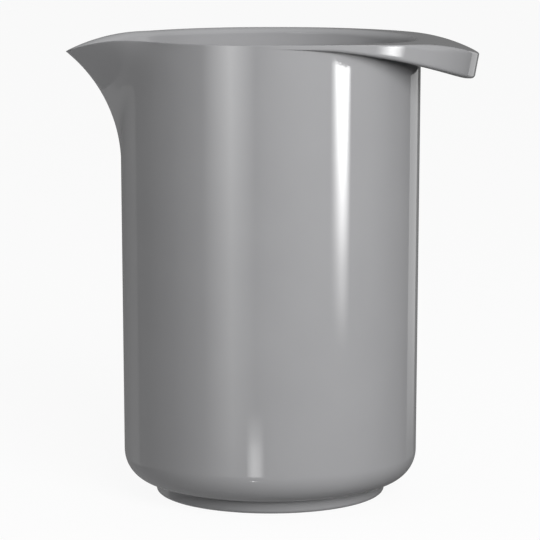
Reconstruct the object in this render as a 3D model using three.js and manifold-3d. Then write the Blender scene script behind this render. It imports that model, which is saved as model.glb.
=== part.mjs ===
// Mixing jug: a one-litre moulded jug with a drawn-out pouring spout, a brim-shaped grip that is
// hollow from below, and a rubber ring let into its foot.
// Millimetres, +Z up. The origin is on the bowl's axis, on the surface that the jug stands on.
// The spout points to -X and the grip to +X.

import * as THREE from 'three';
import { mergeVertices } from 'three/addons/utils/BufferGeometryUtils.js';
import Module from 'manifold-3d';

const wasm = await Module();
wasm.setup();

// Bowl
const JUG_HEIGHT = 160.2; // rim above the standing surface
const RIM_RADIUS = 52.15; // outside of the rim
const WALL_DRAFT = 0.31; // degrees by which the wall narrows towards the foot
const WALL = 3; // moulded wall, measured level
const FLOOR = 3.2; // thickness of the bottom over the foot's recess
const CORNER_REACH = 9.5; // bottom corner, measured outwards
const CORNER_RISE = 10.3; // bottom corner, measured upwards
const RIM_LAND = 0.35; // flat left on the rim beside its crisp outer edge
const RIM_ROUND = 2; // depth of the rounding that leads from the rim into the bowl

// Foot
const BOWL_CLEARANCE = 4.95; // underside of the bowl's corner above the foot's lower edge
const FOOT_TOP_RADIUS = 42.6; // where the flared foot meets the bowl
const FOOT_EDGE_RADIUS = 39.9; // outside of the foot's lower edge
const FOOT_EDGE_ROUND = 0.6; // rounding of that edge
const FOOT_WIDTH = 8; // width of the foot's lower face

// Non-slip ring
const RING_WIDTH = 3; // width of the rubber
const RING_DEPTH = 2.2; // height of the rubber
const RING_PROUD = 0.3; // how far the rubber stands below the foot
const RING_CHAMFER = 0.4; // bevel of the rubber's lower edges
const RING_EDGE_DISTANCE = 2.4; // from the foot's outer edge to the groove
const RING_CLEARANCE = 0.3; // gap between the rubber and its groove

// Spout
const SPOUT_DEPTH = 44.3; // below the rim, where the spout leaves the wall
const SPOUT_ARC = 50; // radius of the spout's front, seen from the side
const SPOUT_NOSE = 7; // radius of the spout's front edge, seen from above
const SPOUT_ROOT_ANGLE = 63; // half angle between the flanks where the spout begins, in degrees
const SPOUT_CLOSING = 1; // half angle lost for each millimetre of reach, in degrees
const SPOUT_CREASE = 1.6; // width of the soft crease between flank and bowl
const SPOUT_FALL_START = 46; // from the axis to where the rim starts to fall to the lip
const SPOUT_FALL_ARC = 60; // radius of that fall, seen from the side

// Grip
const GRIP_REACH = 72.3; // from the axis to the end of the grip
const GRIP_SEAM = 0.4; // depth in the wall at which the brim's outline starts
const GRIP_PLATE = 3; // thickness of the grip's top
const GRIP_SKIRT = 2.8; // thickness of the down-turned skirt
const GRIP_LEAN = 10.3; // degrees by which the skirt leans inwards going down
const GRIP_EDGE_ROUND = 1; // rounding of the skirt's lower outer edge
const CREST_START = 9.3; // from the axis to where the grip's top starts to fall
const CREST_ARC = 920; // radius of the gentle part of the fall, seen from the side
const BROW_START = 51.6; // from the axis to where the fall steepens
const BROW_ARC = 60; // radius of the steep part
const LEDGE_DROP = 1.4; // height of the brim's edge where it leaves the rim
const LEDGE_START = 10; // from the axis to where the skirt starts to deepen
const SKIRT_ARC = 137; // radius of the skirt's lower line, seen from the side
const SKIRT_SLOPE = 19.4; // slope at which the lower line runs out straight, in degrees
const SKIRT_LEAST = 0.4; // least depth of the skirt below the plate's underside

// Fineness of the facets
const WALL_SEGMENTS = 88; // round the bowl
const SEGMENT_CROWDING = 0.6; // share by which the segments crowd together at the spout
const SPOUT_ROWS = 10; // up the height of the spout
const CORNER_STEPS = 6; // round the bottom corner
const RIM_STEPS = 4; // round the rim
const EDGE_STEPS = 3; // round the lower edges of the foot and the skirt
const GRIP_SEGMENTS = 36; // round the grip
const PLATE_STEPS = 3; // across the underside of the grip's top
const TRIM_STEPS = 9; // along each arc of the rim's side view
const RING_SEGMENTS = 64; // round the rubber ring
const TRIM_MARGIN = 2; // material left above the rim for trimming
const FALL_PASSES = 4; // rounds in which the wall's reach and the rim's fall settle
const MERGE_DISTANCE = 1e-5; // corners closer than this are one corner

const rad = THREE.MathUtils.degToRad;
const SPOUT_ROOT_Z = JUG_HEIGHT - SPOUT_DEPTH;
const FOOT_INNER_RADIUS = FOOT_EDGE_RADIUS - FOOT_WIDTH;
const GROOVE_OUTER = FOOT_EDGE_RADIUS - RING_EDGE_DISTANCE;
const GROOVE_INNER = GROOVE_OUTER - RING_WIDTH - 2 * RING_CLEARANCE;
const GROOVE_TOP = RING_DEPTH + RING_CLEARANCE;
const CORNER_LOW = BOWL_CLEARANCE + RING_PROUD;
const FLOOR_TOP = CORNER_LOW + WALL;
const RECESS_TOP = FLOOR_TOP - FLOOR;
const CORNER_Z = CORNER_LOW + CORNER_RISE;

const bowlRadius = (z) => RIM_RADIUS - Math.tan(rad(WALL_DRAFT)) * (JUG_HEIGHT - z);
const CORNER_X = bowlRadius(CORNER_Z) - CORNER_REACH;

// Sagitta of an arc that starts level or upright and has turned away over a distance
const sagitta = (distance, radius) => radius - Math.sqrt(radius * radius - distance * distance);

// Fall of the rim towards the lip and of the grip's top towards its end, by distance from the axis
const browTurn = (BROW_START - CREST_START) / CREST_ARC;
const browCentre = BROW_START - BROW_ARC * browTurn;
function topFall(x) {
  if (x < -SPOUT_FALL_START) return sagitta(-x - SPOUT_FALL_START, SPOUT_FALL_ARC);
  if (x < CREST_START) return 0;
  if (x < BROW_START) return sagitta(x - CREST_START, CREST_ARC);
  const before = sagitta(BROW_START - CREST_START, CREST_ARC);
  return before + sagitta(x - browCentre, BROW_ARC) - sagitta(BROW_START - browCentre, BROW_ARC);
}
const topHeight = (x) => JUG_HEIGHT - topFall(x);

// Lower line of the skirt: level, then an arc, then straight
function skirtHeight(x) {
  const run = Math.max(x - LEDGE_START, 0);
  const arcRun = SKIRT_ARC * Math.sin(rad(SKIRT_SLOPE));
  const straight = Math.max(run - arcRun, 0) * Math.tan(rad(SKIRT_SLOPE));
  return JUG_HEIGHT - LEDGE_DROP - sagitta(Math.min(run, arcRun), SKIRT_ARC) - straight;
}

// Larger of two radii, with the crease between them softened over a width
function softMax(a, b, width) {
  const overlap = Math.max(width - Math.abs(a - b), 0);
  return Math.max(a, b) + (width > 0 ? (overlap * overlap) / (4 * width) : 0);
}

// Radius of the wall at an angle from the spout: the bowl's circle, joined by two straight flanks
// that close in on a rounded nose. The inset runs parallel to the outside.
function wallRadius(angle, z, inset) {
  const bowl = bowlRadius(z) - inset;
  if (z <= SPOUT_ROOT_Z) return bowl;
  const reach = sagitta(z - SPOUT_ROOT_Z, SPOUT_ARC);
  const half = rad(SPOUT_ROOT_ANGLE - SPOUT_CLOSING * reach);
  const nose = SPOUT_NOSE - inset;
  const centre = bowlRadius(z) + reach - SPOUT_NOSE;
  const off = Math.abs(angle);
  const noseEnd = Math.atan2(nose * Math.cos(half), centre + nose * Math.sin(half));
  const turn = Math.PI / 2 - half - off;
  const flank = centre * Math.sin(half) + nose;
  let spout = turn > 0 ? flank / Math.cos(turn) : flank * Math.cos(turn);
  if (off < noseEnd) {
    spout = centre * Math.cos(off) + Math.sqrt(nose * nose - (centre * Math.sin(off)) ** 2);
  }
  return softMax(bowl, spout, Math.min(SPOUT_CREASE, reach));
}

// Revolves a profile and draws the part above the spout's root out into the spout.
// With lowered rows, the wall also follows the fall of the rim.
function drawnWall(profile, followRim) {
  const geometry = new THREE.LatheGeometry(profile, WALL_SEGMENTS);
  const position = geometry.getAttribute('position');
  for (let i = 0; i < position.count; i++) {
    const point = profile[i % profile.length];
    const column = Math.floor(i / profile.length) % WALL_SEGMENTS;
    const even = (2 * Math.PI * column) / WALL_SEGMENTS;
    const angle = even - SEGMENT_CROWDING * Math.sin(even);
    const off = angle > Math.PI ? 2 * Math.PI - angle : angle;
    let r = point.x;
    let z = point.y;
    if (r > 0 && z > SPOUT_ROOT_Z) {
      const inset = bowlRadius(point.y) - r;
      const share = (point.y - SPOUT_ROOT_Z) / SPOUT_DEPTH;
      r = wallRadius(off, z, inset);
      for (let pass = 0; followRim && pass < FALL_PASSES; pass++) {
        z = point.y - share * topFall(-r * Math.cos(angle));
        r = wallRadius(off, z, inset);
      }
    }
    position.setXYZ(i, -r * Math.cos(angle), -r * Math.sin(angle), z);
  }
  return geometry;
}

// Rows up the spout, closer together towards the rim
function spoutRows() {
  const rows = [];
  for (let i = 0; i <= SPOUT_ROWS; i++) {
    rows.push(SPOUT_ROOT_Z + SPOUT_DEPTH * Math.sin((i / SPOUT_ROWS) * (Math.PI / 2)));
  }
  return rows;
}

// Quarter ellipse of the bottom corner, from its lower end up to the wall
function cornerPoints(startAngle, inset) {
  const points = [];
  for (let i = 0; i <= CORNER_STEPS; i++) {
    const angle = startAngle * (1 - i / CORNER_STEPS);
    const x = CORNER_X + (CORNER_REACH - inset) * Math.cos(angle);
    points.push(new THREE.Vector2(x, CORNER_Z - (CORNER_RISE - inset) * Math.sin(angle)));
  }
  return points;
}

// Foot from the middle of the underside to the lower outer edge, with the groove for the ring
function footPoints() {
  const points = [
    new THREE.Vector2(0, RECESS_TOP),
    new THREE.Vector2(FOOT_INNER_RADIUS, RECESS_TOP),
    new THREE.Vector2(FOOT_INNER_RADIUS, RING_PROUD),
    new THREE.Vector2(GROOVE_INNER, RING_PROUD),
    new THREE.Vector2(GROOVE_INNER, GROOVE_TOP),
    new THREE.Vector2(GROOVE_OUTER, GROOVE_TOP),
    new THREE.Vector2(GROOVE_OUTER, RING_PROUD),
  ];
  for (let i = 0; i <= EDGE_STEPS; i++) {
    const angle = (i / EDGE_STEPS) * (Math.PI / 2);
    const x = FOOT_EDGE_RADIUS - FOOT_EDGE_ROUND * (1 - Math.sin(angle));
    points.push(new THREE.Vector2(x, RING_PROUD + FOOT_EDGE_ROUND * (1 - Math.cos(angle))));
  }
  return points;
}

// Outside of the bowl as a solid, left tall for trimming
function bowlBlock() {
  const footAngle = Math.acos((FOOT_TOP_RADIUS - CORNER_X) / CORNER_REACH);
  const profile = [...footPoints(), ...cornerPoints(footAngle, 0)];
  for (const z of spoutRows()) profile.push(new THREE.Vector2(bowlRadius(z), z));
  const top = JUG_HEIGHT + TRIM_MARGIN;
  profile.push(new THREE.Vector2(bowlRadius(top), top), new THREE.Vector2(0, top));
  return drawnWall(profile, false);
}

// Room inside the bowl, flared at the rim, left tall to cut through
function bowlRoom() {
  const profile = [new THREE.Vector2(0, FLOOR_TOP), ...cornerPoints(Math.PI / 2, WALL)];
  const roundStart = JUG_HEIGHT - RIM_ROUND;
  for (const z of spoutRows().filter((row) => row < roundStart)) {
    profile.push(new THREE.Vector2(bowlRadius(z) - WALL, z));
  }
  for (let i = 0; i <= RIM_STEPS; i++) {
    const angle = (i / RIM_STEPS) * (Math.PI / 2);
    const z = roundStart + RIM_ROUND * Math.sin(angle);
    const inset = RIM_LAND + (WALL - RIM_LAND) * Math.cos(angle);
    profile.push(new THREE.Vector2(bowlRadius(z) - inset, z));
  }
  const top = JUG_HEIGHT + 2 * TRIM_MARGIN;
  profile.push(new THREE.Vector2(bowlRadius(top) - RIM_LAND, top), new THREE.Vector2(0, top));
  return drawnWall(profile, true);
}

// A point on the brim's leaning face: half an ellipse that starts just inside the bowl's wall
function brimPoint(angle, inset, z) {
  const lean = Math.tan(rad(GRIP_LEAN)) * (JUG_HEIGHT - topFall(GRIP_REACH * Math.cos(angle)) - z);
  const x = (GRIP_REACH - lean - inset) * Math.cos(angle);
  const y = (bowlRadius(z) - GRIP_SEAM - inset) * Math.sin(angle);
  return new THREE.Vector3(x, y, z);
}

// Section of the grip at one angle: a plate with a down-turned skirt, its inner end in the wall
function brimSection(angle) {
  const inner = RIM_RADIUS - GRIP_SKIRT - WALL;
  const top = JUG_HEIGHT + TRIM_MARGIN;
  const rough = brimPoint(angle, 0, skirtHeight(GRIP_REACH * Math.cos(angle)));
  const low = skirtHeight(rough.x);
  const plate = (x) => Math.max(topHeight(x) - GRIP_PLATE, low + SKIRT_LEAST);
  const section = [];
  section.push(new THREE.Vector3(inner * Math.cos(angle), inner * Math.sin(angle), top));
  section.push(brimPoint(angle, 0, top));
  const round = Math.min(GRIP_EDGE_ROUND, (JUG_HEIGHT - low) / 2);
  for (let i = 0; i <= EDGE_STEPS; i++) {
    const turn = (i / EDGE_STEPS) * (Math.PI / 2);
    section.push(brimPoint(angle, round * (1 - Math.cos(turn)), low + round * (1 - Math.sin(turn))));
  }
  section.push(brimPoint(angle, GRIP_SKIRT, low));
  const outer = brimPoint(angle, GRIP_SKIRT, plate((GRIP_REACH - GRIP_SKIRT) * Math.cos(angle)));
  for (let i = 0; i <= PLATE_STEPS; i++) {
    const share = i / PLATE_STEPS;
    const x = THREE.MathUtils.lerp(outer.x, inner * Math.cos(angle), share);
    const y = THREE.MathUtils.lerp(outer.y, inner * Math.sin(angle), share);
    section.push(new THREE.Vector3(x, y, plate(x)));
  }
  return section;
}

// Closed solid through a row of like sections, capped at both ends
function loft(sections) {
  const size = sections[0].length;
  const index = [];
  for (let i = 0; i + 1 < sections.length; i++) {
    for (let j = 0; j < size; j++) {
      const a = i * size + j;
      const b = i * size + ((j + 1) % size);
      index.push(a, b, a + size, b, b + size, a + size);
    }
  }
  const flat = (section) => section.map((p) => new THREE.Vector2(Math.hypot(p.x, p.y), p.z));
  const last = (sections.length - 1) * size;
  for (const [a, b, c] of THREE.ShapeUtils.triangulateShape(flat(sections[0]), [])) {
    index.push(a, b, c);
  }
  for (const [a, b, c] of THREE.ShapeUtils.triangulateShape(flat(sections.at(-1)), [])) {
    index.push(last + c, last + b, last + a);
  }
  const geometry = new THREE.BufferGeometry().setFromPoints(sections.flat());
  geometry.setIndex(index);
  return geometry;
}

// Grip, swept through half a turn from one side of the bowl to the other
function gripBlock() {
  const sections = [];
  for (let i = 0; i <= GRIP_SEGMENTS; i++) {
    sections.push(brimSection(Math.PI * (i / GRIP_SEGMENTS - 0.5)));
  }
  return loft(sections);
}

// Slab with the jug's side view as its top line
function trimSlab() {
  const edge = GRIP_REACH + TRIM_MARGIN;
  const outline = [new THREE.Vector2(-edge, -TRIM_MARGIN), new THREE.Vector2(edge, -TRIM_MARGIN)];
  const arc = (from, to) => {
    for (let i = 0; i < TRIM_STEPS; i++) {
      const x = THREE.MathUtils.lerp(from, to, i / TRIM_STEPS);
      outline.push(new THREE.Vector2(x, topHeight(x)));
    }
  };
  arc(edge, BROW_START);
  arc(BROW_START, CREST_START);
  arc(CREST_START, -SPOUT_FALL_START);
  arc(-SPOUT_FALL_START, -edge);
  outline.push(new THREE.Vector2(-edge, topHeight(-edge)));
  const width = 2 * (RIM_RADIUS + TRIM_MARGIN);
  const options = { depth: width, bevelEnabled: false };
  const slab = new THREE.ExtrudeGeometry(new THREE.Shape(outline), options);
  return slab.rotateX(Math.PI / 2).translate(0, width / 2, 0);
}

function toSolid(geometry) {
  const plain = geometry.clone();
  plain.deleteAttribute('normal');
  plain.deleteAttribute('uv');
  const merged = mergeVertices(plain, MERGE_DISTANCE);
  const vertProperties = Float32Array.from(merged.getAttribute('position').array);
  const triVerts = [];
  const index = merged.index.array;
  for (let i = 0; i < index.length; i += 3) {
    const [a, b, c] = [index[i], index[i + 1], index[i + 2]];
    if (a !== b && b !== c && c !== a) triVerts.push(a, b, c);
  }
  const mesh = { numProp: 3, vertProperties, triVerts: Uint32Array.from(triVerts) };
  return new wasm.Manifold(new wasm.Mesh(mesh));
}

function fromSolid(solid) {
  const mesh = solid.getMesh();
  const geometry = new THREE.BufferGeometry();
  geometry.setAttribute('position', new THREE.BufferAttribute(mesh.vertProperties, 3));
  geometry.setIndex(new THREE.BufferAttribute(mesh.triVerts, 1));
  geometry.computeVertexNormals();
  return geometry;
}

// Bowl, spout, foot and grip are one moulding
function jugBody() {
  const outside = toSolid(bowlBlock()).add(toSolid(gripBlock()));
  return fromSolid(outside.intersect(toSolid(trimSlab())).subtract(toSolid(bowlRoom())));
}

// Rubber ring with bevelled lower edges
function nonSlipRing() {
  const outer = GROOVE_OUTER - RING_CLEARANCE;
  const inner = GROOVE_INNER + RING_CLEARANCE;
  const profile = [
    new THREE.Vector2(inner + RING_CHAMFER, 0),
    new THREE.Vector2(outer - RING_CHAMFER, 0),
    new THREE.Vector2(outer, RING_CHAMFER),
    new THREE.Vector2(outer, RING_DEPTH),
    new THREE.Vector2(inner, RING_DEPTH),
    new THREE.Vector2(inner, RING_CHAMFER),
    new THREE.Vector2(inner + RING_CHAMFER, 0),
  ];
  return new THREE.LatheGeometry(profile, RING_SEGMENTS).rotateX(Math.PI / 2);
}

const melamine = new THREE.MeshStandardMaterial({ color: 0x9b9b9e, roughness: 0.2, metalness: 0 });
const rubber = new THREE.MeshStandardMaterial({ color: 0x3c3c3e, roughness: 0.8, metalness: 0 });

function piece(name, geometry, material) {
  const mesh = new THREE.Mesh(geometry, material);
  mesh.name = name;
  return mesh;
}

const jug = new THREE.Group();
jug.name = 'mixing_jug';
jug.add(piece('jug_body', jugBody(), melamine));
jug.add(piece('non_slip_ring', nonSlipRing(), rubber));

export default jug;
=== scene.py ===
from math import asin, atan, atan2, cos, hypot, pi, radians, sin, sqrt, tan
from typing import NamedTuple

import bmesh
import bpy
from bpy.props import FloatProperty, FloatVectorProperty, IntProperty, PointerProperty
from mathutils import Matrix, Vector


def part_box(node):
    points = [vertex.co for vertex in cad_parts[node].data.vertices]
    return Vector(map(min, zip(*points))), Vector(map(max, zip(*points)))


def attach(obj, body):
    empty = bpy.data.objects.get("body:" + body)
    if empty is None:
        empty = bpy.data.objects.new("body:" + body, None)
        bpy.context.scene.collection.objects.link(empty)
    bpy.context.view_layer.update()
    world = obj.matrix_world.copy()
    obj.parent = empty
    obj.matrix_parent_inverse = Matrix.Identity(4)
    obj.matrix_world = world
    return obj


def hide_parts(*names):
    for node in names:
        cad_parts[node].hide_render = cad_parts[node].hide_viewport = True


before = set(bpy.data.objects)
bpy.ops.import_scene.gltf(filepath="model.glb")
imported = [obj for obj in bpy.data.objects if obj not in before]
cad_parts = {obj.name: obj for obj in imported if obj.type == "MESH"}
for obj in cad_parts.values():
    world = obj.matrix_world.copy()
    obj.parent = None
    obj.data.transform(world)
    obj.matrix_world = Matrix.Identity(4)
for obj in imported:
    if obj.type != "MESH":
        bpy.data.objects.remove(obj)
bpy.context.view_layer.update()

bl_info = {
    "name": "Mixing jug",
    "version": (1, 0, 0),
    "blender": (4, 5, 0),
    "location": "3D View > Sidebar > Jug",
    "description": "Models a moulded mixing jug with its rubber ring, and a studio to show it in",
    "category": "Object",
}

RING_LOW, RING_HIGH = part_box("non_slip_ring")
MM = 0.001

# Shares of the radius at which rings lie on the two flat discs, close together round the pole
UNDERSIDE_RINGS = (0.0, 0.01, 0.06, 0.16, 0.33, 0.67)
FLOOR_RINGS = (0.96, 0.7, 0.4, 0.15, 0.05, 0.01, 0.0)

# Shares of the height at which rings lie on the foot's outer face, above its lower rounding
FOOT_RINGS = (0.26, 0.3, 0.4, 0.55, 0.7, 0.85, 0.93)

# Numbers of faces along the other stretches of the section
ROUNDING_ROWS = 5
CORNER_ROWS, INNER_CORNER_ROWS = 24, 16
WALL_ROWS, INNER_WALL_ROWS = 8, 6
RIM_ROWS = 12


def length(name, description, millimetres):
    """A length that the user may change, stored in metres"""
    return FloatProperty(
        name=name, description=description, default=millimetres * MM, min=0.0, precision=5,
        unit="LENGTH", subtype="DISTANCE",
    )


def angle(name, description, degrees):
    """An angle that the user may change"""
    return FloatProperty(
        name=name, description=description, default=radians(degrees), unit="ROTATION", subtype="ANGLE"
    )


def colour(name, description, value):
    """A colour that the user may change"""
    return FloatVectorProperty(
        name=name, description=description, default=value, size=3, min=0.0, max=1.0, subtype="COLOR"
    )


def share(name, description, value, most=1.0):
    """A plain number from 0 up that the user may change"""
    return FloatProperty(
        name=name, description=description, default=value, min=0.0, max=most, precision=4, subtype="FACTOR"
    )


def watts(name, description, value):
    """A lamp's power that the user may change"""
    return FloatProperty(name=name, description=description, default=value, min=0.0, unit="POWER")


class BowlSizes(bpy.types.PropertyGroup):
    """Bowl and foot"""

    height: length("Height", "Rim above the standing surface", 160.2)
    rim_radius: length("Rim radius", "Outside of the rim", 52.12)
    draft: angle("Draft", "Angle by which the wall narrows towards the foot", 0.31)
    wall: length("Wall", "Thickness of the moulded wall", 3.0)
    floor: length("Floor", "Thickness of the bottom", 3.2)
    corner_reach: length("Corner reach", "Bottom corner, measured outwards", 9.5)
    corner_rise: length("Corner rise", "Bottom corner, measured upwards", 10.3)
    edge_round: length("Edge rounding", "Rounding of the rim's outer edge", 0.2)
    rim_land: length("Rim land", "Level width between that edge and the rounding into the bowl", 0.35)
    rim_round: length("Rim rounding", "Depth of the rounding from the rim into the bowl", 2.0)
    foot_edge: length("Foot height", "The foot's lower edge above the standing surface", 0.3)
    foot_depth: length("Foot depth", "From the foot's lower edge to the bowl's underside", 4.95)
    foot_top: length("Foot top radius", "Where the foot meets the bowl", 40.5)
    foot_radius: length("Foot radius", "Outside of the foot's lower edge", 40.0)
    foot_round: length("Foot rounding", "Rounding of the foot's lower outer edge", 1.3)
    foot_inner_round: length("Foot inner rounding", "Rounding of the foot's lower inner edge", 0.4)
    foot_width: length("Foot width", "Width of the foot's lower face", 8.0)
    crease_round: length("Crease rounding", "Rounding where the foot meets the bowl", 0.15)
    recess_round: length("Recess rounding", "Rounding where the foot's inside meets the underside", 1.2)
    groove_outer: length("Groove outer radius", "Outer wall of the groove for the rubber", 37.5)
    groove_width: length("Groove width", "Width of the groove for the rubber", 3.6)
    groove_top: length("Groove top", "Top of the groove above the standing surface", 2.5)
    groove_round: length("Groove rounding", "Rounding of the groove's two upper corners", 0.3)
    mouth_round: length("Groove mouth rounding", "Rounding of the groove's two lower edges", 0.25)
    ring_round: length("Ring rounding", "Rounding of the rubber ring's edges", 0.4)


class SpoutSizes(bpy.types.PropertyGroup):
    """Drawn-out spout"""

    depth: length("Depth", "Below the rim, where the spout leaves the wall", 44.3)
    front_arc: length("Front arc", "Radius of the spout's front, seen from the side", 50.0)
    nose: length("Nose", "Radius of the spout's front edge, seen from above", 7.0)
    root_angle: angle("Root angle", "Half angle between the flanks where the spout begins", 63.0)
    closing: angle("Closing", "Half angle lost for each millimetre of reach", 1.0)
    crease: length("Crease", "Width of the soft crease between flank and bowl", 1.6)
    fall_start: length("Fall start", "From the axis to where the rim falls to the lip", 46.0)
    fall_arc: length("Fall arc", "Radius of that fall, seen from the side", 60.0)


class GripSizes(bpy.types.PropertyGroup):
    """Brim-shaped grip"""

    reach: length("Reach", "From the axis to the end of the grip", 72.28)
    plate: length("Plate", "Thickness of the grip's top", 3.0)
    skirt: length("Skirt", "Thickness of the down-turned skirt", 2.8)
    lean: angle("Lean", "Angle by which the skirt leans inwards going down", 10.3)
    edge_round: length("Edge rounding", "Rounding of the skirt's lower outer edge", 1.0)
    flow_reach: length("Flow reach", "How far the rounding into the bowl reaches onto the grip", 0.6)
    flow_depth: length("Flow depth", "Depth of that rounding", 3.0)
    flow_start: length("Flow start", "From the axis to where that rounding starts to widen", 18.0)
    brow_round: length("Brow rounding", "Rounding of the top's outer edge along the grip", 1.8)
    end_round: length("End rounding", "Rounding of the top's outer edge at the grip's end", 0.7)
    sharp_to: length("Sharp up to", "From the axis to where that edge starts to soften", 43.0)
    soft_from: length("Soft from", "From the axis to where that edge has its full rounding", 55.0)
    crest_start: length("Crest start", "From the axis to where the top starts to fall", 9.3)
    crest_arc: length("Crest arc", "Radius of the gentle part of the fall", 1200.0)
    brow_start: length("Brow start", "From the axis to where the fall steepens", 49.5)
    brow_arc: length("Brow arc", "Radius of the steep part", 62.0)
    ledge: length("Ledge", "Height of the brim's edge where it leaves the rim", 1.4)
    skirt_start: length("Skirt start", "From the axis to where the skirt starts to deepen", 2.0)
    skirt_arc: length("Skirt arc", "Radius of the skirt's lower line", 185.0)
    skirt_slope: angle("Skirt slope", "Slope at which the lower line runs out straight", 19.4)


class Fineness(bpy.types.PropertyGroup):
    """Number of faces"""

    columns: IntProperty(name="Columns", description="Faces round the jug", default=320, min=48)
    crowding: share("Crowding", "Share by which the columns crowd together at the spout", 0.5)
    spout_rows: IntProperty(name="Spout rows", description="Faces up the spout", default=44, min=8)
    ring_sides: IntProperty(name="Ring sides", description="Faces round the rubber", default=192, min=24)


class Finishes(bpy.types.PropertyGroup):
    """Colours and surfaces"""

    jug: colour("Jug", "Colour of the moulding", (0.337, 0.337, 0.345))
    jug_tint: colour("Jug, second tone", "Tone that clouds the moulding's colour", (0.324, 0.324, 0.332))
    gloss: share("Gloss roughness", "Roughness of the moulding's polished skin", 0.02)
    index: share("Refraction", "Index of refraction of the moulding", 1.55, 3.0)
    rubber: colour("Rubber", "Colour of the ring", (0.045, 0.045, 0.048))


class StudioSettings(bpy.types.PropertyGroup):
    """Camera and lamps"""

    distance: length("Camera distance", "From the jug's axis to the camera", 974.87)
    camera_height: length("Camera height", "Camera above the standing surface", 220.15)
    camera_side: length("Camera side", "Camera to the left of the jug's axis", 0.086)
    pitch: angle("Camera pitch", "Angle by which the camera looks down", 8.2748)
    lens: FloatProperty(
        name="Lens", description="Focal length on a 36 mm sensor", default=187.679, unit="CAMERA"
    )
    horizon: share("Horizon", "Brightness of the room at eye level", 0.16, 4.0)
    zenith: share("Zenith", "Brightness of the room overhead", 0.45, 4.0)
    haze: share("Haze", "Brightness of the room just above eye level", 0.17, 4.0)
    key: watts("Key", "Power of the main lamp", 28.0)
    fill: watts("Fill", "Power of the low lamp that lights the spout's underside", 9.0)


class JugSettings(bpy.types.PropertyGroup):
    """Everything that can be changed"""

    bowl: PointerProperty(type=BowlSizes)
    spout: PointerProperty(type=SpoutSizes)
    grip: PointerProperty(type=GripSizes)
    fineness: PointerProperty(type=Fineness)
    finishes: PointerProperty(type=Finishes)
    studio: PointerProperty(type=StudioSettings)


def settings():
    """All sizes and finishes of the scene"""
    return bpy.context.scene.mixing_jug


def sagitta(run, radius):
    """Fall of an arc that starts level and has run a distance"""
    return radius - sqrt(max(radius * radius - run * run, 0.0))


def mix(a, b, t):
    """Value that lies a share of the way from one value to another"""
    return a + (b - a) * t


def ease(t):
    """Smooth step from 0 to 1"""
    t = min(max(t, 0.0), 1.0)
    return t * t * (3 - 2 * t)


def steps(count):
    """Shares from 0 to 1 at even steps, both ends included"""
    return [i / count for i in range(count + 1)]


def rounded(corners, count):
    """A line of (radius, height) through corners, each rounded by its third number"""
    line = []
    for i, (x, z, r) in enumerate(corners):
        if not r:
            line.append((x, z))
            continue
        (x0, z0), (x1, z1) = corners[i - 1][:2], corners[i + 1][:2]
        a, b = atan2(z0 - z, x0 - x), atan2(z1 - z, x1 - x)
        turn = (b - a + pi) % (2 * pi) - pi
        reach = r / sin(abs(turn) / 2)
        middle = a + turn / 2
        cx, cz = x + reach * cos(middle), z + reach * sin(middle)
        cut = r / tan(abs(turn) / 2)
        first = atan2(z + cut * sin(a) - cz, x + cut * cos(a) - cx)
        sweep = (pi - abs(turn)) * (-1 if turn > 0 else 1)
        line += [(cx + r * cos(first + sweep * t), cz + r * sin(first + sweep * t)) for t in steps(count)]
    return line


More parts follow.
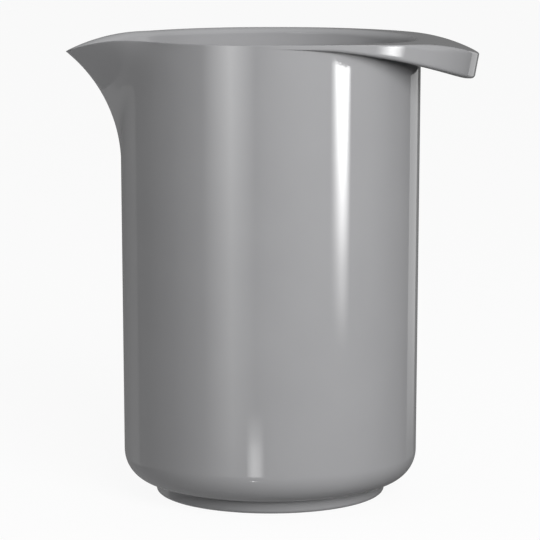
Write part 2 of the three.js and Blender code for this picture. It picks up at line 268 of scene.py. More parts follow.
class JugForm:
    """Where each point of the moulding lies"""

    NEAR = MM / 10
    TRIES, STRIDE = 8, 0.6

    def __init__(self, jug):
        self.bowl, self.spout, self.grip = jug.bowl, jug.spout, jug.grip
        self.top = self.bowl.height
        self.root = self.top - self.spout.depth
        self.corner_low = self.bowl.foot_edge + self.bowl.foot_depth
        self.floor_top = self.corner_low + self.bowl.wall
        self.corner_top = self.corner_low + self.bowl.corner_rise
        self.corner_x = self.radius(self.corner_top) - self.bowl.corner_reach

    def radius(self, z):
        """Outside of the bowl's wall at a height"""
        return self.bowl.rim_radius - tan(self.bowl.draft) * (self.top - z)

    def fall(self, x):
        """How far the rim and the grip's top lie below the rim's height"""
        grip = self.grip
        if x < -self.spout.fall_start:
            return sagitta(-x - self.spout.fall_start, self.spout.fall_arc)
        if x < grip.crest_start:
            return 0.0
        if x < grip.brow_start:
            return sagitta(x - grip.crest_start, grip.crest_arc)
        centre = grip.brow_start - grip.brow_arc * (grip.brow_start - grip.crest_start) / grip.crest_arc
        steep = sagitta(x - centre, grip.brow_arc) - sagitta(grip.brow_start - centre, grip.brow_arc)
        return sagitta(grip.brow_start - grip.crest_start, grip.crest_arc) + steep

    def slope(self, x):
        """Steepness of that fall"""
        return (self.fall(x + self.NEAR) - self.fall(x - self.NEAR)) / (2 * self.NEAR)

    def skirt_low(self, x):
        """Height of the skirt's lower line"""
        grip = self.grip
        run = max(x - grip.skirt_start, 0.0)
        bent = grip.skirt_arc * sin(grip.skirt_slope)
        straight = max(run - bent, 0.0) * tan(grip.skirt_slope)
        return self.top - grip.ledge - sagitta(min(run, bent), grip.skirt_arc) - straight

    def plan(self, off, z, inset):
        """Radius of the drawn-out wall at an angle off the spout, inset evenly"""
        bowl = self.radius(z) - inset
        if z <= self.root:
            return bowl
        reach = sagitta(z - self.root, self.spout.front_arc)
        half = self.spout.root_angle - self.spout.closing * reach / MM
        nose = self.spout.nose - inset
        centre = self.radius(z) + reach - self.spout.nose
        turn = pi / 2 - half - off
        flank = centre * sin(half) + nose
        drawn = flank / cos(turn) if turn > 0 else flank * cos(turn)
        if off < atan2(nose * cos(half), centre + nose * sin(half)):
            drawn = centre * cos(off) + sqrt(nose * nose - (centre * sin(off)) ** 2)
        width = min(self.spout.crease, reach)
        overlap = max(width - abs(bowl - drawn), 0.0)
        return max(bowl, drawn) + overlap * overlap / (4 * width)

    def wall_point(self, turn, inset, z):
        """A point of the wall at an angle from the grip, let down step by step with the rim's fall"""
        off = abs(abs(turn) - pi)
        share_up = max(z - self.root, 0.0) / self.spout.depth
        height = z
        r = self.plan(off, z, inset)
        for _ in range(self.TRIES):
            height = mix(height, z - share_up * self.fall(r * cos(turn)), self.STRIDE)
            r = self.plan(off, height, inset)
        return (r * cos(turn), r * sin(turn), height)

    def rim_start(self, turn):
        """Where the rounding into the bowl starts, inwards from the rim's outside, and its depth"""
        bowl, grip = self.bowl, self.grip
        x = bowl.rim_radius * cos(turn)
        s = ease((x - grip.flow_start) / (bowl.rim_radius - grip.flow_start))
        return mix(bowl.rim_land, -grip.flow_reach, s), mix(bowl.rim_round, grip.flow_depth, s)

    def bowl_turn(self, brim):
        """Angle round the bowl that faces an angle of the brim's oval"""
        if cos(brim) <= 0:
            return brim
        stretch = (self.grip.reach - self.bowl.rim_radius) / self.bowl.rim_radius
        return brim - asin(stretch * sin(brim) * cos(brim))

    def brim_point(self, brim, inset, z):
        """A point on the skirt's leaning outer face"""
        top = self.top - self.fall(self.grip.reach * cos(brim))
        reach = self.grip.reach - tan(self.grip.lean) * (top - z) - inset
        return (reach * cos(brim), (self.radius(z) - inset) * sin(brim), z)


class BrimSection:
    """The grip's section at one angle of its oval, from the wall outwards and back over the top"""

    # Faces round each arc, and along the ceiling, the skirt's inside, its outside and the top
    ARC, CEILING, INSIDE, OUTSIDE, TOP = 4, 3, 2, 6, 12

    # Points that hollow_points gives: two arcs, ceiling, inside, lip and outer edge
    HOLLOW_POINTS = 2 * (ARC + 1) + CEILING + INSIDE + ARC + (ARC + 2)

    # The hollow begins where the brim is this much wider than its skirt, and deepens over this much more
    MARGIN, RUN_IN = 0.6 * MM, 3 * MM

    # Roundings inside the full hollow, where it begins, and at the skirt's lower inner edge
    FULL_ROUND, FIRST_ROUND, LIP_ROUND = MM, 0.3 * MM, 0.5 * MM

    # Most of a narrow brim's width, of the hollow and of the skirt's height that one rounding takes
    FIRST_SHARE, HOLLOW_SHARE, WIDTH_SHARE, HEIGHT_SHARE = 0.3, 0.45, 0.5, 0.4

    def __init__(self, form, brim):
        grip = form.grip
        self.form, self.brim = form, brim
        self.turn = form.bowl_turn(brim)
        self.low = form.top - grip.ledge
        for _ in range(4):
            self.low = form.skirt_low(form.brim_point(brim, 0.0, self.low)[0])
        outer = form.brim_point(brim, 0.0, self.low)
        inner = self.on_wall(self.low)
        self.width = hypot(outer[0] - inner[0], outer[1] - inner[1]) if cos(brim) > 0 else 0.0
        self.open = ease((self.width - grip.skirt - self.MARGIN) / self.RUN_IN)
        first_round = min(self.FIRST_ROUND, self.FIRST_SHARE * self.width)
        self.root_round = mix(first_round, self.FULL_ROUND, self.open)
        self.skirt_in = mix(self.root_round, max(self.width - grip.skirt, 0.0), self.open)
        room = max(self.skirt_in - self.root_round, 0.0)
        depth = self.under(self.skirt_in) - self.low
        self.deep_round = min(self.FULL_ROUND * self.open, self.HOLLOW_SHARE * min(room, depth))
        self.lip_round = self.LIP_ROUND * self.open
        self.edge_x = grip.reach * cos(brim)
        self.edge_z = form.top - form.fall(self.edge_x)
        self.most_round = self.HEIGHT_SHARE * (self.edge_z - self.low)
        self.outer_round = min(grip.edge_round, self.WIDTH_SHARE * self.width, self.most_round)

    def on_wall(self, z):
        """The bowl's wall at a height"""
        r = self.form.radius(z)
        return (r * cos(self.turn), r * sin(self.turn), z)

    def across(self, q, z):
        """A point between the wall and the skirt's outer face"""
        if self.width < MM / 1000:
            return self.form.brim_point(self.brim, 0.0, z)
        t = q / self.width
        a, b = self.on_wall(z), self.form.brim_point(self.brim, 0.0, z)
        return (mix(a[0], b[0], t), mix(a[1], b[1], t), z)

    def under(self, q):
        """Height of the hollow's ceiling"""
        x = self.across(q, self.low)[0]
        ceiling = self.form.top - self.form.fall(x) - self.form.grip.plate
        return mix(self.low, max(ceiling, self.low), self.open)

    def wall_end(self):
        """Height at which the wall runs into the rounding under the grip"""
        return self.under(0.0) - self.root_round

    def hollow_points(self):
        """From the wall over the hollow's ceiling, down the skirt's inside and round its lower edge"""
        out = []
        for t in steps(self.ARC):
            q = self.root_round * (1 - cos(t * pi / 2))
            out.append(self.across(q, self.under(q) - self.root_round * (1 - sin(t * pi / 2))))
        for t in steps(self.CEILING + 1)[1:-1]:
            q = mix(self.root_round, self.skirt_in - self.deep_round, t)
            out.append(self.across(q, self.under(q)))
        for t in steps(self.ARC):
            q = self.skirt_in - self.deep_round * (1 - sin(t * pi / 2))
            out.append(self.across(q, self.under(q) - self.deep_round * (1 - cos(t * pi / 2))))
        upper, lower = self.under(self.skirt_in) - self.deep_round, self.low + self.lip_round
        for t in steps(self.INSIDE + 1)[1:-1]:
            out.append(self.across(self.skirt_in, mix(upper, lower, t)))
        for t in steps(self.ARC - 1):
            q = self.skirt_in + self.lip_round * (1 - cos(t * pi / 2))
            out.append(self.across(q, self.low + self.lip_round * (1 - sin(t * pi / 2))))
        for t in steps(self.ARC + 1):
            q = self.width - self.outer_round * (1 - sin(t * pi / 2))
            out.append(self.across(q, self.low + self.outer_round * (1 - cos(t * pi / 2))))
        return out

    def outer_points(self):
        """Up the skirt's outer face and round the top's outer edge"""
        form, grip, out = self.form, self.form.grip, []
        soft = ease((self.edge_x - grip.sharp_to) / (grip.soft_from - grip.sharp_to))
        far = ease((self.edge_x - grip.soft_from) / (grip.reach - grip.soft_from))
        brow = min(mix(grip.brow_round, grip.end_round, far), self.most_round)
        r = mix(form.bowl.edge_round, brow, soft)
        tilt = atan(form.slope(self.edge_x) * max(cos(self.brim), 0.0))
        start = self.edge_z - r * tan(pi / 4 - tilt / 2)
        for t in steps(self.OUTSIDE + 1)[1:-1]:
            out.append(form.brim_point(self.brim, 0.0, mix(self.low + self.outer_round, start, t)))
        for t in steps(self.ARC):
            a = t * (pi / 2 - tilt)
            out.append(form.brim_point(self.brim, r * (1 - cos(a)), start + r * sin(a)))
        return out

    def top_points(self, first):
        """From a point on the top's outer edge to where the rounding into the bowl starts"""
        form, out = self.form, []
        last = form.wall_point(self.turn, form.rim_start(self.turn)[0], form.top)
        above = first[2] - form.top + form.fall(first[0])
        for t in steps(self.TOP)[1:]:
            x, y = mix(first[0], last[0], t), mix(first[1], last[1], t)
            out.append((x, y, mix(above, 0.0, t) + form.top - form.fall(x)))
        return out

    def points(self):
        """The whole row of points where there is a grip"""
        out = self.hollow_points() + self.outer_points()
        return out + self.top_points(out[-1])

    def plain_points(self):
        """The same row of points where there is no grip: the rim's bare edge"""
        form, turn = self.form, self.turn
        r = form.bowl.edge_round
        out = [form.wall_point(turn, 0.0, self.low)] * self.HOLLOW_POINTS
        for t in steps(self.OUTSIDE + 1)[1:-1]:
            out.append(form.wall_point(turn, 0.0, mix(self.low, form.top - r, t)))
        for t in steps(self.ARC):
            a = t * pi / 2
            out.append(form.wall_point(turn, r * (1 - cos(a)), form.top - r + r * sin(a)))
        return out + [out[-1]] * self.TOP


def foot_line(form):
    """Half section from the middle of the underside to the bottom corner"""
    bowl = form.bowl
    recess = form.floor_top - bowl.floor
    inner = bowl.foot_radius - bowl.foot_width
    groove_inner = bowl.groove_outer - bowl.groove_width
    edge = bowl.foot_edge
    corners = [(inner * ring, recess, 0) for ring in UNDERSIDE_RINGS]
    corners += [
        (inner, recess, bowl.recess_round),
        (inner, edge, bowl.foot_inner_round),
        (groove_inner, edge, bowl.mouth_round),
        (groove_inner, bowl.groove_top, bowl.groove_round),
        (bowl.groove_outer, bowl.groove_top, bowl.groove_round),
        (bowl.groove_outer, edge, bowl.mouth_round),
        (bowl.foot_radius, edge, bowl.foot_round),
    ]
    for t in FOOT_RINGS:
        corners.append((mix(bowl.foot_radius, bowl.foot_top, t), mix(edge, form.corner_low, t), 0))
    corners.append((bowl.foot_top, form.corner_low, bowl.crease_round))
    corners.append((form.corner_x, form.corner_low, 0))
    line = rounded(corners, ROUNDING_ROWS)[:-1]
    for t in steps(CORNER_ROWS):
        a = pi / 2 * (1 - t)
        x = form.corner_x + bowl.corner_reach * cos(a)
        line.append((x, form.corner_top - bowl.corner_rise * sin(a)))
    return line


def floor_line(form):
    """Half section from the inside of the wall to the middle of the bowl's floor"""
    bowl = form.bowl
    line = []
    for t in steps(INNER_CORNER_ROWS):
        a = t * pi / 2
        x = form.corner_x + (bowl.corner_reach - bowl.wall) * cos(a)
        line.append((x, form.corner_top - (bowl.corner_rise - bowl.wall) * sin(a)))
    edge = line[-1][0]
    return line + [(edge * ring, form.floor_top) for ring in FLOOR_RINGS]


def column_points(form, brim, rows):
    """All points of the moulding's section at one angle, from the underside over the rim to the floor"""
    bowl = form.bowl
    section = BrimSection(form, brim)
    turn = section.turn
    gripped = cos(brim) > 0
    points = [(r * cos(turn), r * sin(turn), z) for r, z in foot_line(form)]
    for t in steps(WALL_ROWS)[1:]:
        z = mix(form.corner_top, form.root, t)
        points.append((form.radius(z) * cos(turn), form.radius(z) * sin(turn), z))
    end = section.wall_end() if gripped else section.low
    for t in steps(rows)[1:-1]:
        z = mix(form.root, end, sin(t * pi / 2))
        points.append(section.on_wall(z) if gripped else form.wall_point(turn, 0.0, z))
    points += section.points() if gripped else section.plain_points()
    land, depth = form.rim_start(turn)
    for t in steps(RIM_ROWS)[1:]:
        a = t * pi / 2
        inset = land + (bowl.wall - land) * sin(a)
        points.append(form.wall_point(turn, inset, form.top - depth * (1 - cos(a))))
    for t in steps(rows)[1:]:
        z = mix(form.root, form.top - depth, sin((1 - t) * pi / 2))
        points.append(form.wall_point(turn, bowl.wall, z))
    for t in steps(INNER_WALL_ROWS)[1:-1]:
        points.append(form.wall_point(turn, bowl.wall, mix(form.root, form.corner_top, t)))
    return points + [(r * cos(turn), r * sin(turn), z) for r, z in floor_line(form)]


def start_clean():
    """Nothing selected and object mode on"""
    if bpy.context.object and bpy.context.object.mode != "OBJECT":
        bpy.ops.object.mode_set(mode="OBJECT")
    bpy.ops.object.select_all(action="DESELECT")


def draw_line(name, points):
    """A new object with one vertex, extruded point by point into a line"""
    start_clean()
    bpy.ops.mesh.primitive_plane_add(size=MM, location=(0.0, 0.0, 0.0))
    piece = bpy.context.object
    piece.name = piece.data.name = name
    bpy.ops.object.mode_set(mode="EDIT")
    bpy.ops.mesh.select_all(action="SELECT")
    bpy.ops.mesh.merge(type="CENTER")
    bpy.ops.transform.translate(value=points[0])
    for before, after in zip(points, points[1:]):
        move = tuple(b - a for a, b in zip(before, after))
        bpy.ops.mesh.extrude_region_move(TRANSFORM_OT_translate={"value": move})
    return piece


def number_rows(piece):
    """Follows the drawn line from its lower end and writes each vertex's place on it into an attribute"""
    mesh = bmesh.from_edit_mesh(piece.data)
    row = mesh.verts.layers.int.new("row")
    ends = [vertex for vertex in mesh.verts if len(vertex.link_edges) == 1]
    vertex, edge = min(ends, key=lambda end: end.co.z), None
    for i in range(len(mesh.verts)):
        vertex[row] = i
        onward = [link for link in vertex.link_edges if link is not edge]
        if onward:
            edge = onward[0]
            vertex = edge.other_vert(vertex)
    bmesh.update_edit_mesh(piece.data)


def spin_round(columns):
    """Spins the selected line all the way round the upright axis"""
    bpy.ops.mesh.select_all(action="SELECT")
    bpy.ops.mesh.spin(steps=columns, angle=2 * pi, center=(0.0, 0.0, 0.0), axis=(0.0, 0.0, 1.0))


def close_up():
    """Merges what lies together and turns all faces outwards"""
    bpy.ops.mesh.select_all(action="SELECT")
    bpy.ops.mesh.remove_doubles(threshold=MM / 1000)
    bpy.ops.mesh.normals_make_consistent(inside=False)


def stand_for(piece, node, material):
    """Dresses a finished piece and lets it stand for its CAD node"""
    piece.data.materials.clear()
    piece.data.materials.append(material)
    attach(piece, "root")
    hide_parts(node)


def new_material(name):
    """A material with an empty shader, its nodes and its links"""
    material = bpy.data.materials.new(name)
    material.use_nodes = True
    nodes, links = material.node_tree.nodes, material.node_tree.links
    return material, nodes, links, nodes["Principled BSDF"]


def noise(nodes, links, coordinates, scale, detail):
    """A noise pattern on the piece's own coordinates"""
    texture = nodes.new("ShaderNodeTexNoise")
    texture.inputs["Scale"].default_value = scale
    texture.inputs["Detail"].default_value = detail
    links.new(coordinates.outputs["Object"], texture.inputs["Vector"])
    return texture.outputs["Fac"]


def spread(nodes, links, pattern, low, high):
    """Maps a noise pattern, which keeps mostly between 0.3 and 0.7, to a range"""
    ranged = nodes.new("ShaderNodeMapRange")
    ranged.inputs["From Min"].default_value = 0.3
    ranged.inputs["From Max"].default_value = 0.7
    ranged.inputs["To Min"].default_value = low
    ranged.inputs["To Max"].default_value = high
    links.new(pattern, ranged.inputs["Value"])
    return ranged.outputs["Result"]


def bump(nodes, links, height, strength, distance, below=None):
    """A bump from a pattern, laid over another if one is given"""
    node = nodes.new("ShaderNodeBump")
    node.inputs["Strength"].default_value = strength
    node.inputs["Distance"].default_value = distance
    links.new(height, node.inputs["Height"])
    if below:
        links.new(below, node.inputs["Normal"])
    return node.outputs["Normal"]


def moulded_melamine(finish):
    """Polished melamine: a hard gloss with a faint waviness and clouding"""
    material, nodes, links, shader = new_material("moulded_melamine")
    place = nodes.new("ShaderNodeTexCoord")
    tone = nodes.new("ShaderNodeMix")
    tone.data_type = "RGBA"
    tone.inputs["A"].default_value = (*finish.jug, 1.0)
    tone.inputs["B"].default_value = (*finish.jug_tint, 1.0)
    cloud = noise(nodes, links, place, scale=38.0, detail=3.0)
    links.new(spread(nodes, links, cloud, 0.0, 1.0), tone.inputs["Factor"])
    links.new(tone.outputs["Result"], shader.inputs["Base Color"])
    rub = noise(nodes, links, place, scale=90.0, detail=4.0)
    rubbed = spread(nodes, links, rub, 0.6 * finish.gloss, 1.4 * finish.gloss)
    links.new(rubbed, shader.inputs["Roughness"])
    wave = noise(nodes, links, place, scale=22.0, detail=1.0)
    grain = noise(nodes, links, place, scale=900.0, detail=2.0)
    broad = bump(nodes, links, wave, strength=0.03, distance=2 * MM)
    fine = bump(nodes, links, grain, strength=0.005, distance=0.2 * MM, below=broad)
    links.new(fine, shader.inputs["Normal"])
    shader.inputs["IOR"].default_value = finish.index
    return material


def black_rubber(finish):
    """Matt rubber with a fine grain"""
    material, nodes, links, shader = new_material("ring_rubber")
    place = nodes.new("ShaderNodeTexCoord")
    shade = nodes.new("ShaderNodeValToRGB")
    dark, light = shade.color_ramp.elements
    dark.position, dark.color = 0.35, (*[0.8 * c for c in finish.rubber], 1.0)
    light.position, light.color = 0.65, (*[1.25 * c for c in finish.rubber], 1.0)
    links.new(noise(nodes, links, place, scale=260.0, detail=4.0), shade.inputs["Fac"])
    links.new(shade.outputs["Color"], shader.inputs["Base Color"])
    rub = noise(nodes, links, place, scale=600.0, detail=3.0)
    links.new(spread(nodes, links, rub, 0.62, 0.84), shader.inputs["Roughness"])
    grain = noise(nodes, links, place, scale=1500.0, detail=3.0)
    links.new(bump(nodes, links, grain, strength=0.35, distance=0.3 * MM), shader.inputs["Normal"])
    return material


class JUG_OT_moulding(bpy.types.Operator):
    """Spins the jug's section, draws out its spout and shapes its grip"""

    bl_idname = "mixing_jug.moulding"
    bl_label = "Moulded jug"

    def execute(self, context):
        jug = settings()
        form = JugForm(jug)
        count, rows = jug.fineness.columns, jug.fineness.spout_rows
        line = column_points(form, pi, rows)
        piece = draw_line("moulded_jug", [(hypot(x, y), 0.0, z) for x, y, z in line])
        number_rows(piece)
        spin_round(count)
        columns = []
        for j in range(count):
            even = 2 * pi * j / count
            brim = even + jug.fineness.crowding * sin(even)
            columns.append(column_points(form, brim, rows))
        mesh = bmesh.from_edit_mesh(piece.data)
        row = mesh.verts.layers.int["row"]
        mesh.verts.ensure_lookup_table()
        for i, vertex in enumerate(mesh.verts):
            vertex.co = columns[(i // len(line)) % count][vertex[row]]
        bmesh.update_edit_mesh(piece.data)
        close_up()
        bpy.ops.object.mode_set(mode="OBJECT")
        bpy.ops.object.shade_smooth()
        stand_for(piece, "jug_body", moulded_melamine(jug.finishes))
        return {"FINISHED"}


class JUG_OT_rubber_ring(bpy.types.Operator):
    """Extrudes the rubber ring in the foot's groove and rounds its edges"""

    bl_idname = "mixing_jug.rubber_ring"
    bl_label = "Rubber ring"

    def execute(self, context):
        jug = settings()
        bowl = jug.bowl
        outer = RING_HIGH.x
        clearance = bowl.groove_outer - outer
        inner = bowl.groove_outer - bowl.groove_width + clearance
        start_clean()
        bpy.ops.mesh.primitive_circle_add(
            vertices=jug.fineness.ring_sides, radius=inner, fill_type="NOTHING", location=(0.0, 0.0, 0.0)
        )
        piece = bpy.context.object
        piece.name = piece.data.name = "rubber_ring"
        bpy.ops.object.mode_set(mode="EDIT")
        bpy.ops.mesh.select_all(action="SELECT")
        wider = outer / inner
        bpy.ops.mesh.extrude_edges_move()
        bpy.ops.transform.resize(value=(wider, wider, 1.0), center_override=(0.0, 0.0, 0.0))
        bpy.ops.mesh.select_all(action="SELECT")
        lift = (0.0, 0.0, RING_HIGH.z - RING_LOW.z)
        bpy.ops.mesh.extrude_region_move(TRANSFORM_OT_translate={"value": lift})
        close_up()
        self.select_round_edges(piece)
        bpy.ops.mesh.bevel(offset=bowl.ring_round, segments=4, profile=0.5, affect="EDGES")
        close_up()
        bpy.ops.object.mode_set(mode="OBJECT")
        bpy.ops.object.shade_smooth_by_angle(angle=radians(40))
        stand_for(piece, "non_slip_ring", black_rubber(jug.finishes))
        return {"FINISHED"}

    def select_round_edges(self, piece):
        """Selects the level edges that run round the ring"""
        near = MM / 100
        mesh = bmesh.from_edit_mesh(piece.data)
        for edge in mesh.edges:
            a, b = (vertex.co for vertex in edge.verts)
            level = abs(a.z - b.z) < near
            edge.select = level and abs(hypot(a.x, a.y) - hypot(b.x, b.y)) < near
        bmesh.update_edit_mesh(piece.data)


# Brightness along a panel, as places from 0 to 1 and the share of full strength there
EVEN = ((0.0, 1.0), (1.0, 1.0))


class Lamp(NamedTuple):
    """A soft lamp's degrees to the right of the camera's direction, and its metres out, up and across"""

    angle: float
    distance: float
    height: float
    aim: tuple
    size: tuple


class Panel(NamedTuple):
    """An upright panel that shows only as a reflection in the jug"""

    name: str
    # Degrees to the right of the camera's direction between which it stands
    sides: tuple
    # Metres from the jug's axis
    distance: float
    # Metres above the floor between which it reaches
    reach: tuple
    strength: float
    across: tuple = EVEN
    upwards: tuple = EVEN
    # Strength at which the brightest part is cut off
    most: float = None
    # Degrees by which it leans sideways
    roll: float = 0.0


KEY_LAMP = Lamp(angle=24, distance=1.5, height=0.7, aim=(0.0, 0.0, 0.08), size=(0.95, 0.95))
FILL_LAMP = Lamp(angle=-130, distance=0.85, height=-0.75, aim=(-0.04, 0.0, 0.12), size=(0.6, 0.6))

# Panels for the streaks, bands and soft lights on the moulding
PANELS = (
    # The tall bright strip right of the middle, which fades downwards
    Panel(
        "strip_panel", sides=(45.7, 63.0), distance=2.0, reach=(-0.299, -0.0031), strength=33.0, most=15.0,
        across=(
            (0.0, 0.0), (0.15, 0.17), (0.35, 0.6), (0.48, 0.95),
            (0.6, 1.0), (0.75, 0.76), (0.9, 0.25), (1.0, 0.0),
        ),
        upwards=(
            (0.0, 0.0), (0.08, 0.03), (0.3, 0.16), (0.51, 0.36), (0.69, 0.58), (0.83, 0.77), (0.96, 1.0),
        ),
        roll=-0.75,
    ),
    # The broad soft light left of the middle
    Panel(
        "soft_panel", sides=(-51, -11), distance=0.8, reach=(-0.2, 0.3), strength=4.0,
        across=((0.0, 0.0), (0.55, 1.0), (1.0, 0.0)),
        upwards=((0.0, 0.1), (0.36, 0.5), (0.6, 1.0), (1.0, 1.0)),
    ),
    # The faint light over the right half
    Panel(
        "side_panel", sides=(-10, 104), distance=0.8, reach=(-0.25, 0.4), strength=0.66,
        across=((0.0, 0.0), (0.35, 1.0), (0.7, 1.0), (1.0, 0.0)),
        upwards=((0.0, 0.0), (0.25, 0.3), (0.55, 1.0), (1.0, 1.0)),
    ),
    # The light band along the right edge
    Panel(
        "edge_panel", sides=(132, 152), distance=0.8, reach=(-0.2, 0.35), strength=0.66,
        upwards=((0.0, 0.0), (0.09, 0.2), (0.16, 0.6), (0.25, 0.95), (0.35, 1.0)),
    ),
    # The light band along the left edge, which ends sharply
    Panel(
        "left_panel", sides=(-160, -80), distance=0.8, reach=(-0.25, 0.3), strength=0.66,
        across=(
            (0.0, 0.0), (0.12, 0.04), (0.21, 0.12), (0.34, 0.42), (0.4, 0.6), (0.474, 0.7),
            (0.484, 0.36), (0.55, 0.4), (0.8, 0.27), (1.0, 0.0),
        ),
        upwards=((0.18, 0.6), (0.43, 0.62), (1.0, 0.8)),
    ),
    # The short streak low on the wall
    Panel(
        "low_panel", sides=(-17.8, -4.1), distance=0.8, reach=(-0.18, -0.115), strength=4.0,
        across=((0.0, 0.1), (0.3, 0.9), (0.45, 1.0), (0.7, 0.75), (1.0, 0.0)),
        upwards=((0.0, 1.0), (0.26, 1.0), (0.52, 0.8), (0.72, 0.4), (0.92, 0.07), (1.0, 0.0)),
    ),
    # A small glint on the bottom corner below that streak
    Panel(
        "foot_panel", sides=(-16.5, -8.5), distance=0.8, reach=(-0.385, -0.355), strength=8.0,
        across=((0.0, 0.0), (0.4, 1.0), (1.0, 0.0)),
    ),
)


def pale_floor():
    """A floor that the camera sees as white, greyed a little where the jug shades it"""
    seen_white, bounced_grey = 0.92, (0.1, 0.1, 0.1, 1.0)
    material, nodes, links, shader = new_material("pale_floor")
    shader.inputs["Base Color"].default_value = (0.95, 0.95, 0.95, 1.0)
    shader.inputs["Roughness"].default_value = 0.7
    glow = nodes.new("ShaderNodeEmission")
    glow.inputs["Color"].default_value = (1.0, 1.0, 1.0, 1.0)
    white = nodes.new("ShaderNodeMixShader")
    white.inputs["Fac"].default_value = seen_white
    dull = nodes.new("ShaderNodeBsdfDiffuse")
    dull.inputs["Color"].default_value = bounced_grey
    rays = nodes.new("ShaderNodeLightPath")
    blend = nodes.new("ShaderNodeMixShader")
    links.new(shader.outputs["BSDF"], white.inputs[1])
    links.new(glow.outputs["Emission"], white.inputs[2])
    links.new(rays.outputs["Is Camera Ray"], blend.inputs["Fac"])
    links.new(dull.outputs["BSDF"], blend.inputs[1])
    links.new(white.outputs["Shader"], blend.inputs[2])
    links.new(blend.outputs["Shader"], nodes["Material Output"].inputs["Surface"])
    return material


def fade(nodes, links, value, stops):
    """A ramp of brightness through a few stops of place and strength"""
    ramp = nodes.new("ShaderNodeValToRGB")
    elements = ramp.color_ramp.elements
    while len(elements) < len(stops):
        elements.new(0.5)
    for element, (position, strength) in zip(elements, stops):
        element.position = position
        element.color = (strength, strength, strength, 1.0)
    links.new(value, ramp.inputs["Fac"])
    return ramp.outputs["Color"]


def white_room(studio):
    """A room that is white to the camera and through clear things, and lights the jug softly from above"""
    world = bpy.data.worlds.new("white_room")
    bpy.context.scene.world = world
    world.use_nodes = True
    nodes, links = world.node_tree.nodes, world.node_tree.links
    back = nodes["Background"]
    back.inputs["Color"].default_value = (1.0, 1.0, 1.0, 1.0)
    place = nodes.new("ShaderNodeTexCoord")
    split = nodes.new("ShaderNodeSeparateXYZ")
    rays = nodes.new("ShaderNodeLightPath")
    power = nodes.new("ShaderNodeMix")
    power.inputs["B"].default_value = 1.0
    links.new(place.outputs["Generated"], split.inputs["Vector"])
    through = nodes.new("ShaderNodeMath")
    through.operation = "MAXIMUM"
    links.new(rays.outputs["Is Camera Ray"], through.inputs[0])
    links.new(rays.outputs["Is Transmission Ray"], through.inputs[1])
    links.new(through.outputs["Value"], power.inputs["Factor"])
    stops = ((0.0, studio.horizon), (0.04, studio.haze), (0.3, studio.haze), (0.8, studio.zenith))
    links.new(fade(nodes, links, split.outputs["Z"], stops), power.inputs["A"])
    links.new(power.outputs["Result"], back.inputs["Strength"])


def around(degrees, distance, height):
    """A spot round the jug, by angle to the right of the camera's direction"""
    return Vector((distance * sin(radians(degrees)), -distance * cos(radians(degrees)), height))


def area_lamp(name, place, aim, size, power):
    """A rectangular area lamp that points at a spot and stays out of the picture"""
    start_clean()
    turn = (Vector(aim) - place).to_track_quat("-Z", "Y").to_euler()
    bpy.ops.object.light_add(type="AREA", location=place, rotation=turn)
    lamp = bpy.context.object
    lamp.name = lamp.data.name = name
    lamp.data.shape = "RECTANGLE"
    lamp.data.size, lamp.data.size_y = size
    lamp.data.energy = power
    lamp.visible_camera = False
    return lamp


def soft_lamp(name, setup, power):
    """A lamp that lights the jug without being seen in it"""
    place = around(setup.angle, setup.distance, setup.height)
    area_lamp(name, place, setup.aim, setup.size, power).visible_glossy = False


def reflected_panel(panel):
    """A lamp that is seen in the jug without lighting it"""
    width = 2 * panel.distance * tan(radians(abs(panel.sides[1] - panel.sides[0]) / 2))
    low, high = panel.reach
    most = panel.most or panel.strength
    place = around(sum(panel.sides) / 2, panel.distance, (low + high) / 2)
    power = most * pi * width * (high - low)
    lamp = area_lamp(panel.name, place, (0.0, 0.0, place.z), (width, high - low), power)
    lamp.visible_diffuse = False
    if panel.roll:
        lamp.rotation_euler.rotate_axis("Z", radians(panel.roll))
    lamp.data.use_nodes = True
    nodes, links = lamp.data.node_tree.nodes, lamp.data.node_tree.links
    surface = nodes.new("ShaderNodeNewGeometry")
    split = nodes.new("ShaderNodeSeparateXYZ")
    links.new(surface.outputs["Parametric"], split.inputs["Vector"])
    both = nodes.new("ShaderNodeMath")
    both.operation = "MULTIPLY"
    links.new(fade(nodes, links, split.outputs["X"], panel.across), both.inputs[0])
    links.new(fade(nodes, links, split.outputs["Y"], panel.upwards), both.inputs[1])
    capped = nodes.new("ShaderNodeMath")
    capped.operation = "MULTIPLY"
    capped.use_clamp = True
    capped.inputs[1].default_value = panel.strength / most
    links.new(both.outputs["Value"], capped.inputs[0])
    links.new(capped.outputs["Value"], nodes["Emission"].inputs["Strength"])


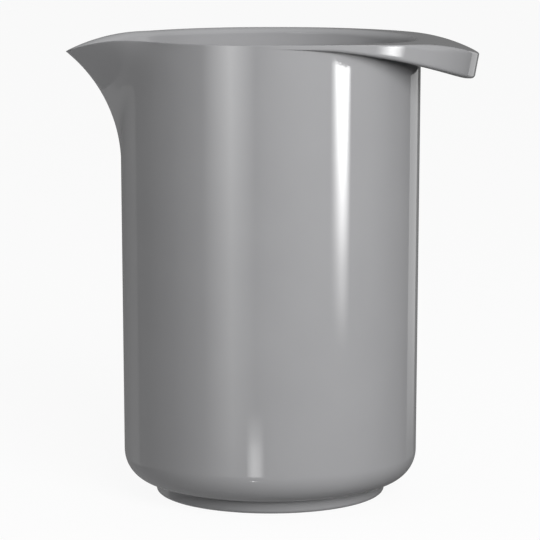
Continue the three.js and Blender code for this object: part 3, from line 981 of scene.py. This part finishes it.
class JUG_OT_studio(bpy.types.Operator):
    """Sets up the floor, the room, the lamps and the camera"""

    bl_idname = "mixing_jug.studio"
    bl_label = "Studio"

    def execute(self, context):
        studio = settings().studio
        self.lay_floor()
        white_room(studio)
        soft_lamp("key_lamp", KEY_LAMP, studio.key)
        for panel in PANELS:
            reflected_panel(panel)
        soft_lamp("fill_lamp", FILL_LAMP, studio.fill)
        self.place_camera(context, studio)
        context.scene.view_settings.view_transform = "Standard"
        return {"FINISHED"}

    def lay_floor(self):
        """A floor that reflections and shadows pass by, so that a low lamp can shine from under it"""
        start_clean()
        bpy.ops.mesh.primitive_plane_add(size=8.0, location=(0.0, 0.0, 0.0))
        floor = bpy.context.object
        floor.name = floor.data.name = "studio_floor"
        bpy.ops.object.mode_set(mode="EDIT")
        bpy.ops.mesh.subdivide(number_cuts=3)
        bpy.ops.object.mode_set(mode="OBJECT")
        floor.data.materials.append(pale_floor())
        floor.visible_glossy = floor.visible_shadow = False

    def place_camera(self, context, studio):
        """The camera that took the photograph, as worked out from the jug's outline"""
        bpy.ops.object.camera_add(
            location=(-studio.camera_side, -studio.distance, studio.camera_height),
            rotation=(pi / 2 - studio.pitch, 0.0, 0.0),
        )
        camera = bpy.context.object
        camera.name = camera.data.name = "camera"
        camera.data.sensor_width = 36.0
        camera.data.lens = studio.lens
        camera.data.clip_start, camera.data.clip_end = 0.01, 50.0
        context.scene.camera = camera


class JUG_PT_panel(bpy.types.Panel):
    """The jug's sizes, finishes and steps"""

    bl_idname = "JUG_PT_panel"
    bl_label = "Mixing jug"
    bl_space_type = "VIEW_3D"
    bl_region_type = "UI"
    bl_category = "Jug"

    def draw(self, context):
        layout = self.layout
        jug = settings()
        for group in (jug.bowl, jug.spout, jug.grip, jug.fineness, jug.finishes, jug.studio):
            box = layout.box()
            box.label(text=group.bl_rna.description)
            for name in group.__annotations__:
                box.prop(group, name)
        for step in STEPS:
            layout.operator(step.bl_idname)


STEPS = (JUG_OT_moulding, JUG_OT_rubber_ring, JUG_OT_studio)
GROUPS = (BowlSizes, SpoutSizes, GripSizes, Fineness, Finishes, StudioSettings, JugSettings)


def register():
    """Makes the settings, the steps and the sidebar panel known"""
    for cls in (*GROUPS, *STEPS, JUG_PT_panel):
        bpy.utils.register_class(cls)
    bpy.types.Scene.mixing_jug = PointerProperty(type=JugSettings)


def unregister():
    """Takes them away again"""
    del bpy.types.Scene.mixing_jug
    for cls in reversed((*GROUPS, *STEPS, JUG_PT_panel)):
        bpy.utils.unregister_class(cls)


def main():
    """Makes the jug, its ring and the studio"""
    register()
    bpy.ops.mixing_jug.moulding()
    bpy.ops.mixing_jug.rubber_ring()
    bpy.ops.mixing_jug.studio()


if __name__ == "__main__":
    main()
